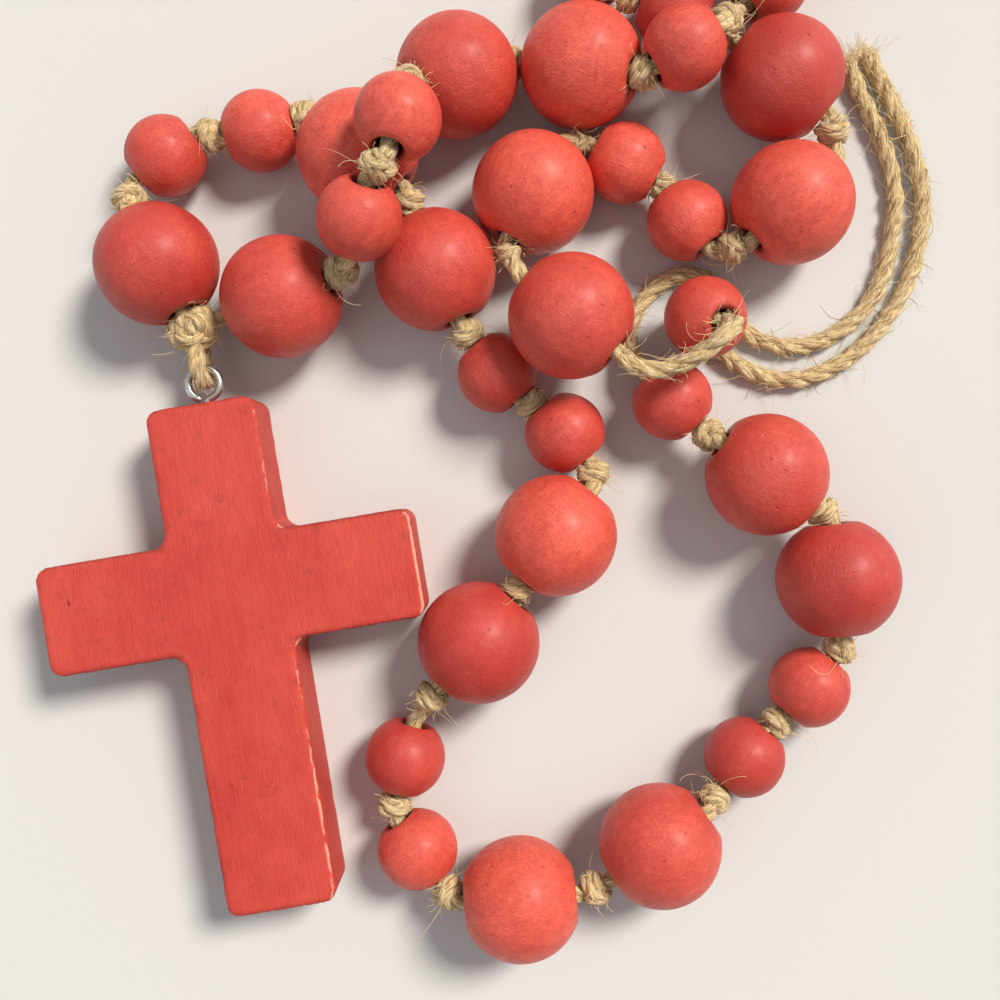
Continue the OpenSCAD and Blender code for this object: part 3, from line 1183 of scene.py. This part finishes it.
@dataclass
class Strand:
    """The strung part of the twine: both sides, the knots between the beads and the centre knot.

    Attributes:
        side_a: beads of side A, in order from the centre knot.
        side_b: beads of side B, in order from the centre knot.
        all_beads: every bead, for keeping clear of.
        centre: middle of the centre knot.
        knot_fuzz: loose fibres on a knot, as (how many, longest, least and most lift).
        jute: sizes of the twine.
    """

    side_a: list[Bead]
    side_b: list[Bead]
    all_beads: list[Bead]
    centre: Vector
    knot_fuzz: tuple[tuple[int, float, tuple[float, float]], ...] = (
        (42, 3.2 * MM, (0.1, 0.4)),
        (40, 5.4 * MM, (0.6, 1.4)),
        (4, 11.0 * MM, (0.6, 1.2)),
    )
    jute: Jute = field(default_factory=Jute)

    def build(self, fibre_finish: bpy.types.Material, loose_finish: bpy.types.Material) -> None:
        """Makes the twine, the knots and their fuzz.

        Args:
            fibre_finish: finish of the plies.
            loose_finish: finish of the loose fibres.
        """
        fuzz = TubeMesh()
        sides = (("a", self.side_a, Seed.SIDE_A), ("b", self.side_b, Seed.SIDE_B))
        for letter, side, seed in sides:
            rng = seed.chance()
            self.finish_piece(self.twine(side, rng), f"twine_{letter}", fibre_finish)
            knots = TubeMesh()
            for before, after in zip(side, side[1:]):
                self.knot(knots, fuzz, before, after, rng)
            self.finish_piece(knots, f"knots_{letter}", fibre_finish)
        centre_knot = self.centre_knot(fuzz, Seed.CENTRE_KNOT.chance())
        self.finish_piece(centre_knot, "centre_knot", fibre_finish)
        hairs = fuzz.piece("strand_fuzz", loose_finish)
        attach(hairs, "strand")

    @staticmethod
    def finish_piece(mesh: TubeMesh, node: str, material: bpy.types.Material) -> None:
        """Makes a piece that stands for a node of the strand."""
        piece = mesh.piece(f"{node}_twisted", material)
        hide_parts(node)
        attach(piece, "strand")

    def twine(self, side: list[Bead], rng: random.Random) -> TubeMesh:
        """Strings the twine of one side through its beads, with its turns rounded.

        Args:
            side: beads of the side, in order from the centre knot.
            rng: source of its unevenness.

        Returns:
            The twine.
        """
        lead = self.jute.lead
        points = [self.centre + (side[0].mouth(-1, lead) - self.centre) * 0.3]
        for bead in side:
            points += [bead.mouth(-1, lead), bead.mouth(-1, -3 * MM)]
            points += [bead.mouth(1, -3 * MM), bead.mouth(1, lead)]
        line = even_line(points, 0.25 * MM)
        for _ in range(10):
            middle = [(a + b * 2 + c) / 4 for a, b, c in zip(line, line[1:], line[2:])]
            line = [line[0], *middle, line[-1]]
        mesh = TubeMesh()
        mesh.rope(even_line(line, 0.7 * MM), 0.97 * self.jute.radius, self.jute.pitch, rng)
        return mesh

    @staticmethod
    def squeeze(gap: float, reach: list[Bead]) -> Move:
        """A move that keeps points out of the given beads and above the table.

        Args:
            gap: distance to leave between the points and the wood.
            reach: the beads.

        Returns:
            The move.
        """

        def move(point: Vector) -> Vector:
            for bead in reach:
                point = bead.clear(point, gap)
            return Vector((point.x, point.y, max(point.z, 0.1 * MM)))

        return move

    def knot(
        self, mesh: TubeMesh, fuzz: TubeMesh, before: Bead, after: Bead, rng: random.Random
    ) -> None:
        """Adds the overhand knot between two beads.

        Args:
            mesh: what the knot is added to.
            fuzz: what its loose fibres are added to.
            before: the bead on the side of the centre knot.
            after: the next bead.
            rng: source of its unevenness.
        """
        start, end = before.mouth(1, self.jute.lead), after.mouth(-1, self.jute.lead)
        link = end - start
        along = link.normalized()
        middle = start + along * min(link.length / 2, self.jute.knot_radius * 0.8)
        reach = near_beads(self.all_beads, middle, self.jute.knot_radius + 1 * MM)
        others = [b for b in reach if b not in (before, after)]
        room = min(
            [self.jute.knot_radius]
            + [(b.middle - middle).length - b.size.radius - 0.3 * MM for b in others]
        )
        lump = TubeMesh()
        wound = self.wind(lump, middle, along, max(room, 2.3 * MM), 2.3, rng)
        lump.each(self.squeeze(0.22 * MM, reach))
        offset = len(mesh.points)
        mesh.points += lump.points
        mesh.faces += [tuple(i + offset for i in f) for f in lump.faces]
        mesh.uvs += lump.uvs
        for count, longest, lift in self.knot_fuzz:
            scatter_fibres(fuzz, wound, 1.4 * MM, count, longest, rng, self.all_beads, lift)

    def wind(
        self,
        mesh: TubeMesh,
        middle: Vector,
        along: Vector,
        radius: float,
        turns: float,
        rng: random.Random,
    ) -> list[Vector]:
        """Winds twine into a lump: turns round the strand, and a strap across them.

        Args:
            mesh: what it is added to.
            middle: centre of the lump.
            along: direction of the strand.
            radius: how far the lump reaches.
            turns: how many times the twine goes round.
            rng: source of its tilt and unevenness.

        Returns:
            The centre line of the turns.
        """
        tilt = Vector((rng.gauss(0, 0.25), rng.gauss(0, 0.25), rng.gauss(0, 0.25)))
        axis = (along + tilt).normalized()
        u = axis.orthogonal().normalized()
        v = axis.cross(u)
        thick = 0.42 * radius
        coil_radius = radius - thick
        first = rng.uniform(0, 2 * math.pi)

        def at(angle: float, height: float, reach: float) -> Vector:
            return middle + axis * height + (u * math.cos(angle) + v * math.sin(angle)) * reach

        mesh.tube(
            [middle + axis * radius * t for t in (-0.80, -0.5, 0.0, 0.5, 0.80)],
            [radius * s for s in (0.30, 0.62, 0.72, 0.62, 0.30)],
            10,
            rng.uniform(0, 400),
        )
        coil: list[Vector] = []
        for i in range(61):
            t = i / 60
            angle = first + 2 * math.pi * turns * t
            height = 0.52 * radius * (2 * t - 1) + 0.10 * radius * math.sin(2 * angle)
            swell = 0.50 + 0.50 * math.sin(math.pi * t) ** 0.5
            coil.append(at(angle, height, coil_radius * swell))
        coil = even_line(coil, 0.55 * MM)
        mesh.rope(coil, thick * 1.05, self.jute.knot_pitch, rng, taper=True)
        strap: list[Vector] = []
        lean = rng.choice((-1, 1))
        for i in range(21):
            t = i / 20
            angle = first + 1.1 + lean * math.pi * 0.75 * (t - 0.5)
            height = radius * 0.82 * (2 * t - 1)
            strap.append(at(angle, height, coil_radius * (0.55 + 0.58 * math.sin(math.pi * t))))
        mesh.rope(even_line(strap, 0.55 * MM), thick * 0.92, self.jute.knot_pitch, rng, taper=True)
        return coil

    def centre_knot(self, fuzz: TubeMesh, rng: random.Random) -> TubeMesh:
        """Makes the large knot that carries the cross: two crossed windings.

        Args:
            fuzz: what its loose fibres are added to.
            rng: source of its unevenness.

        Returns:
            The knot, squeezed out of the first bead of each side.
        """
        mesh = TubeMesh()
        radius = self.jute.centre_knot_radius
        upright = Vector((0.0, 0.0, 1.0))
        wound = self.wind(mesh, self.centre, upright, radius, 2.4, rng)
        across = (self.side_b[0].middle - self.centre).normalized()
        self.wind(mesh, self.centre, across, radius * 0.93, 2.2, rng)
        mesh.each(self.squeeze(0.25 * MM, self.side_a[:1] + self.side_b[:1]))
        scatter_fibres(fuzz, wound, 2.2 * MM, 160, 4.5 * MM, rng, self.all_beads, (0.1, 0.5))
        scatter_fibres(fuzz, wound, 2.2 * MM, 90, 7.0 * MM, rng, self.all_beads, (0.6, 1.4))
        return mesh


# ---------------------------------------------------------------- cross and what it hangs from


@dataclass
class Hanger:
    """The loop of twine and the screw eye, set out from the hinge point with the cross along -Y.

    Attributes:
        wire_radius: radius of the eye's wire.
        eye_radius: radius of the eye, to the middle of the wire.
        loop_radius: radius of the loop of twine, to its middle.
        neck: bare wire between the eye and the wood.
        shank: length of the shank in the wood.
        leg: how far the loop runs on towards the centre knot.
        jute: sizes of the twine.
    """

    wire_radius: float = 0.75 * MM
    eye_radius: float = 3.2 * MM
    loop_radius: float = 2.85 * MM
    neck: float = 0.6 * MM
    shank: float = 12.0 * MM
    leg: float = 4.4 * MM
    jute: Jute = field(default_factory=Jute)

    @staticmethod
    def place() -> Matrix:
        """Where the hinge point is, turned with the cross.

        Returns:
            The move from the hanger's own layout to its place.
        """
        joint = next(j for j in frame["joints"] if j["name"] == "cross_lift")
        turn = math.atan2(-joint["axis"][1], -joint["axis"][0])
        return Matrix.Translation(Vector(joint["pos_m"])) @ Matrix.Rotation(turn, 4, "Z")

    def build_loop(
        self, fibre_finish: bpy.types.Material, loose_finish: bpy.types.Material, beads: list[Bead]
    ) -> None:
        """Makes the loop of twine through the eye, with its fuzz.

        Args:
            fibre_finish: finish of the plies.
            loose_finish: finish of the loose fibres.
            beads: beads that the fuzz keeps out of.
        """
        rng = Seed.EYE_LOOP.chance()
        here = self.place()
        arc = [Vector((0, self.leg, self.loop_radius)), Vector((0, self.leg / 2, self.loop_radius))]
        for i in range(13):
            turn = math.pi * i / 12
            arc.append(Vector((0, -math.sin(turn), math.cos(turn))) * self.loop_radius)
        arc += [Vector((0, self.leg / 2, -self.loop_radius)), Vector((0, self.leg, -self.loop_radius))]
        line = even_line([here @ p for p in arc], 0.45 * MM)
        ropes = TubeMesh()
        ropes.rope(line, self.jute.radius, self.jute.pitch, rng)
        piece = ropes.piece("eye_loop_twisted", fibre_finish)
        fuzz = TubeMesh()
        scatter_fibres(fuzz, line, self.jute.radius, 60, 3.6 * MM, rng, beads, (0.0, 0.5))
        hairs = fuzz.piece("eye_loop_fuzz", loose_finish)
        for part in (piece, hairs):
            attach(part, "eye_loop")
        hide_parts("eye_loop")

    def build_eye(self, material: bpy.types.Material) -> None:
        """Makes the screw eye: a shank that bends round into a ring and ends beside itself.

        Args:
            material: its finish.
        """
        here = self.place()
        bottom = -2 * self.eye_radius
        line = [Vector((0, bottom - self.neck - self.wire_radius - self.shank, 0))]
        line += [Vector((0, bottom - 4 * MM, 0)), Vector((0, bottom - 0.9 * MM, 0))]
        line.append(Vector((0.25 * MM, bottom - 0.25 * MM, 0)))
        for i in range(49):
            turn = math.radians(-80 + 332 * i / 48)
            ring = Vector((math.cos(turn), math.sin(turn), 0)) * self.eye_radius
            line.append(ring + Vector((0, -self.eye_radius, 0)))
        line = even_line([here @ p for p in line], 0.25 * MM)
        wire = TubeMesh()
        last = len(line) - 1
        from_end = [min(i, last - i) for i in range(len(line))]
        radii = [self.wire_radius * min(1.0, 0.6 + 0.2 * steps) for steps in from_end]
        wire.tube(line, radii, 16, 0.0)
        piece = wire.piece("screw_eye_wire", material)
        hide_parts("screw_eye")
        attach(piece, "cross")


@dataclass
class Cross:
    """The flat wooden cross, modelled round the middle of its arms with its foot along -Y.

    Attributes:
        length: length of the upright.
        width: width across the arms.
        upright: width of the upright.
        arm: height of the arms.
        drop: distance from the top to the middle of the arms.
        thickness: thickness of the board.
        corner: radius of the outer corners.
        inner: radius of the inner corners.
        edge: rounding of the board's long edges.
        top: distance from the hinge point to the top.
        point_gap: distance between the points of the finished mesh.
        end_depth: how far end grain shows from a sawn side.
    """

    length: float = 100.0 * MM
    width: float = 74.0 * MM
    upright: float = 21.5 * MM
    arm: float = 21.5 * MM
    drop: float = 37.5 * MM
    thickness: float = 15.0 * MM
    corner: float = 2.5 * MM
    inner: float = 3.0 * MM
    edge: float = 0.7 * MM
    top: float = 7.75 * MM
    point_gap: float = 0.55 * MM
    end_depth: float = 0.9 * MM

    def build(self, material: bpy.types.Material) -> None:
        """Models the board, roughens it and puts it in its place.

        Args:
            material: its finish.
        """
        deselect()
        bpy.ops.mesh.primitive_cube_add(size=1.0)
        piece = bpy.context.object
        piece.name = "wooden_cross"
        bpy.ops.object.mode_set(mode="EDIT")
        bpy.ops.mesh.select_all(action="SELECT")
        bpy.ops.transform.resize(value=(self.upright, self.arm, self.thickness))
        self.draw_out_arms(piece)
        self.round_corners(piece)
        bpy.ops.object.mode_set(mode="OBJECT")
        self.roughen(piece)
        shift = Matrix.Translation(Vector((0, -self.top - self.drop, 0)))
        piece.data.transform(Hanger.place() @ shift)
        piece.data.materials.clear()
        piece.data.materials.append(material)
        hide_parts("cross")
        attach(piece, "cross")

    def draw_out_arms(self, piece: bpy.types.Object) -> None:
        """Extrudes the four arms out of the middle block.

        Args:
            piece: the block in edit mode.
        """
        up = self.drop - self.arm / 2
        down = self.length - self.drop - self.arm / 2
        out = (self.width - self.upright) / 2
        for step in ((0, up, 0), (0, -down, 0), (out, 0, 0), (-out, 0, 0)):
            way = Vector(step).normalized()
            far = (self.arm if way.y else self.upright) / 2
            pick(piece, "FACE", lambda face: (face.center - way * far).length < SAME_PLACE)
            bpy.ops.mesh.extrude_region_move(TRANSFORM_OT_translate={"value": Vector(step)})

    def round_corners(self, piece: bpy.types.Object) -> None:
        """Rounds the four inner corners, the eight outer ones, and then the long edges.

        Args:
            piece: the cross in edit mode.
        """
        bpy.ops.mesh.select_all(action="SELECT")
        bpy.ops.mesh.dissolve_limited(angle_limit=math.radians(2))
        for inner, radius in ((True, self.inner), (False, self.corner)):
            pick(piece, "EDGE", lambda edge: self.stands_at_corner(piece, edge, inner))
            bpy.ops.mesh.bevel(offset=radius, segments=6, affect="EDGES")
        pick(piece, "FACE", lambda face: abs(face.normal.z) > 0.9)
        bpy.ops.mesh.region_to_loop()
        bpy.ops.mesh.bevel(offset=self.edge, segments=3, affect="EDGES")
        bpy.ops.mesh.select_all(action="SELECT")
        bpy.ops.mesh.normals_make_consistent(inside=False)

    def stands_at_corner(
        self, piece: bpy.types.Object, edge: bpy.types.MeshEdge, inner: bool
    ) -> bool:
        """Whether an edge stands through the board at a corner.

        Args:
            piece: the cross.
            edge: the edge to test.
            inner: whether the inner corners are meant, or else the outer ones.

        Returns:
            True if it does.
        """
        a, b = (piece.data.vertices[i].co for i in edge.vertices)
        if (a.xy - b.xy).length > 1e-6 or abs(a.z - b.z) < self.thickness / 2:
            return False
        at_arm = abs(abs(a.y) - self.arm / 2) < SAME_PLACE
        at_upright = abs(abs(a.x) - self.upright / 2) < SAME_PLACE
        if inner:
            return at_arm and at_upright
        at_end = min(abs(a.y - self.drop), abs(a.y - self.drop + self.length)) < SAME_PLACE
        at_side = abs(abs(a.x) - self.width / 2) < SAME_PLACE
        return (at_side and at_arm) or (at_end and at_upright)

    def roughen(self, piece: bpy.types.Object) -> None:
        """Gives the board fine, even points, pale edges that are partly scuffs and partly painted
        highlight, and a slightly uneven face.

        Args:
            piece: the cross.
        """
        bpy.context.view_layer.objects.active = piece
        remesh = piece.modifiers.new("even_points", "REMESH")
        remesh.mode = "VOXEL"
        remesh.voxel_size = self.point_gap
        bpy.ops.object.modifier_apply(modifier=remesh.name)
        mesh = piece.data
        local = points_of(mesh)
        ends = np.minimum(self.drop - local[:, 1], local[:, 1] + self.length - self.drop)
        off_arms = np.where(np.abs(local[:, 0]) > self.upright / 2, 0, 1)
        arms = np.abs(np.abs(local[:, 1]) - self.arm / 2) + off_arms
        end_grain = np.clip(1.0 - np.minimum(ends, arms) / self.end_depth, 0, 1)
        normals = np.empty(len(local) * 3, np.float32)
        mesh.vertices.foreach_get("normal", normals)
        normals = normals.reshape(-1, 3)
        # Pale-edge mask: scuffed paint on the slanted edges, doubled on the right-hand edges as
        # painted highlight on the lamp's side.
        slant = np.minimum(np.abs(normals[:, 2]), np.abs(normals[:, 0])) / 0.707
        side = np.where(local[:, 0] > 0.3 * self.upright, 1.0, 0.5)
        wear_and_edge_highlight = np.clip(1.5 * slant, 0, 1) * side
        store(mesh, "grain", local / MM)
        store(mesh, "wear_and_edge_highlight", wear_and_edge_highlight)
        store(mesh, "end_grain", end_grain)
        rough = np.array([noise.noise(Vector((p[0] * 900, p[1] * 260, p[2] * 900))) for p in local])
        chip = np.array([noise.noise(Vector(p) * 420 + Vector((9, 4, 2))) for p in local])
        torn = np.array([noise.noise(Vector((p[0] * 1600, p[1] * 500, p[2] * 700))) for p in local])
        depth = 0.05 * rough + np.clip(chip - 0.10, 0, 1) * 0.9 * wear_and_edge_highlight + 0.30 * end_grain * torn
        shaped = local - normals * (np.clip(depth, -0.05, 0.6) * MM)[:, None]
        mesh.vertices.foreach_set("co", shaped.astype(np.float32).ravel())
        mesh.shade_smooth()


# ---------------------------------------------------------------- the whole rosary


def report(known: set[str]) -> None:
    """Reports each new piece with its number of faces.

    Args:
        known: names of the objects that were there before.
    """
    for piece in bpy.data.objects:
        if piece.type == "MESH" and piece.name not in known:
            log.info("%s: %d faces", piece.name, len(piece.data.polygons))


def main() -> None:
    """Builds the studio and the rosary, cords first, and reports each piece."""
    logging.basicConfig(level=logging.INFO)
    known = {piece.name for piece in bpy.data.objects}
    scene = bpy.context.scene
    scene.view_settings.view_transform = "Standard"
    studio = Studio()
    studio.place_camera()

    names_a, names_b = bead_names()
    side_a = [Bead.from_frame(name) for name in names_a]
    side_b = [Bead.from_frame(name) for name in names_b]
    beads = side_a + side_b + [Bead.from_frame("closing_bead")]
    fibre_finish = JuteFibre().material()
    loose_finish = JuteFibre().loose()
    LooseEnd("a", LOOSE_END_A, side_a[-1]).build(fibre_finish, loose_finish, beads)
    LooseEnd("b", LOOSE_END_B, side_b[-1]).build(fibre_finish, loose_finish, beads)

    swing = next(j for j in frame["joints"] if j["name"] == "cross_swing")
    strand = Strand(side_a, side_b, beads, Vector(swing["pos_m"]))
    strand.build(fibre_finish, loose_finish)
    log.info("strand: %d knots", len(side_a) + len(side_b) - 2)

    hanger = Hanger()
    hanger.build_loop(fibre_finish, loose_finish, beads)
    hanger.build_eye(EyeWire().material())
    log.info("hanger: loop and screw eye")

    BeadString(beads).build(DyedWood().material())
    log.info("beads: %d", len(beads))

    Cross().build(PaintedBoard().material())
    log.info("cross")
    report(known)

    studio.lay_table()
    studio.light()


if __name__ == "__main__":
    main()
